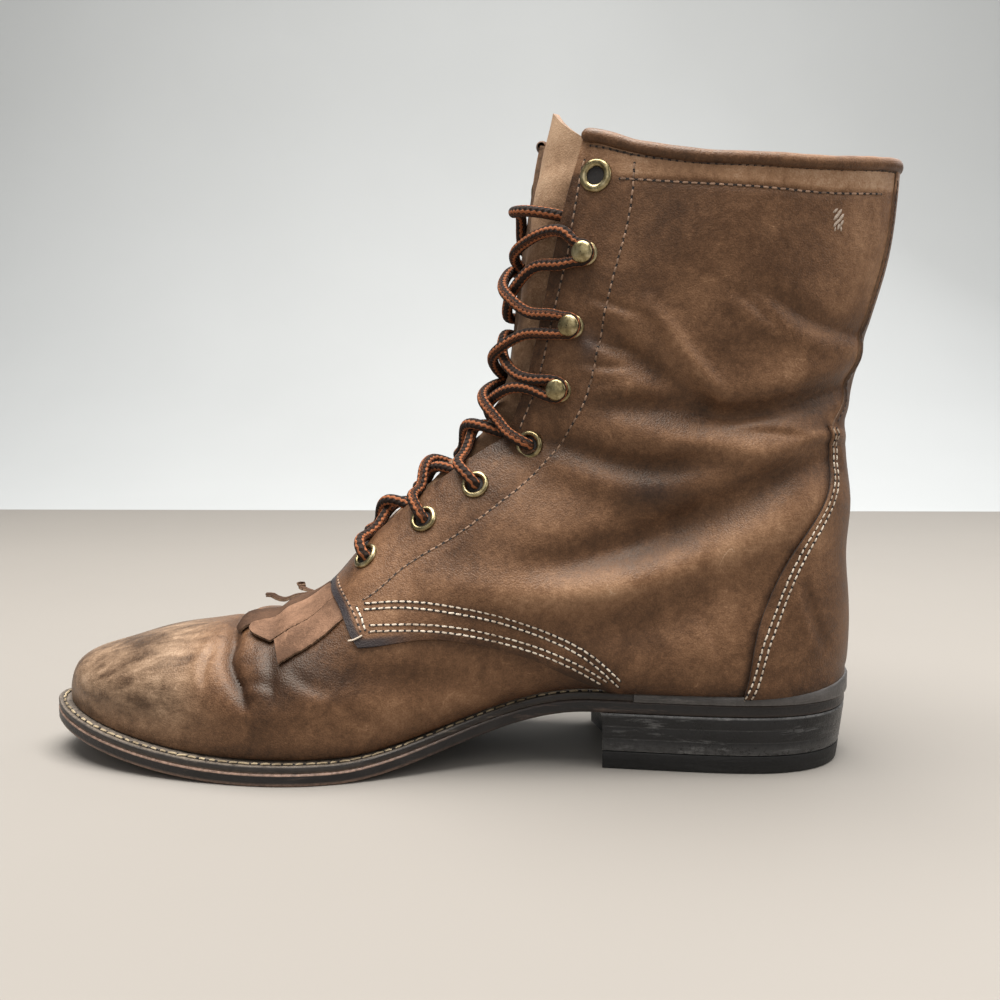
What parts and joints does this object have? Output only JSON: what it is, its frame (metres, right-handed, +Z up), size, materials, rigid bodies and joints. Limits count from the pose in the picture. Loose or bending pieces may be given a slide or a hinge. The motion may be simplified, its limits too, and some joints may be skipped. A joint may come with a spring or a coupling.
{
  "type": "western boot",
  "caption": "Lace-up western ankle boot in worn brown leather with fringed kiltie, brass eyelets and hooks, welted sole and low stacked heel.",
  "frame": {"origin": "on the floor, under the middle of the boot's bounding box", "axes": "+X towards the toe, +Y towards the inner (medial) side of this right boot, +Z up"},
  "size_m": [0.3156, 0.1023, 0.2352],
  "materials": {
    "leather_upper": "oiled, distressed",
    "leather_kiltie": "oiled, worn",
    "leather_lining": "natural",
    "sole_edge": "black edge dressing, scuffed",
    "rubber_lift": "matt",
    "brass": "dull antique",
    "lace_cord": "braided"
  },
  "bodies": {
    "root": {"outsole": "sole_edge", "welt": "sole_edge", "heel_rand": "sole_edge", "heel_block": "sole_edge", "heel_top_lift": "rubber_lift", "insole": "leather_lining", "upper": "leather_upper", "heel_counter": "leather_upper", "tongue": "leather_lining", "kiltie": "leather_kiltie", "collar_binding": "leather_upper", "eyelet_1_inner": "brass", "eyelet_1_outer": "brass", "eyelet_2_inner": "brass", "eyelet_2_outer": "brass", "eyelet_3_inner": "brass", "eyelet_3_outer": "brass", "eyelet_4_inner": "brass", "eyelet_4_outer": "brass", "hook_5_inner": "brass", "hook_5_outer": "brass", "hook_6_inner": "brass", "hook_6_outer": "brass", "hook_7_inner": "brass", "hook_7_outer": "brass", "eyelet_8_inner": "brass", "eyelet_8_outer": "brass", "lace": "lace_cord"}
  },
  "joints": []
}
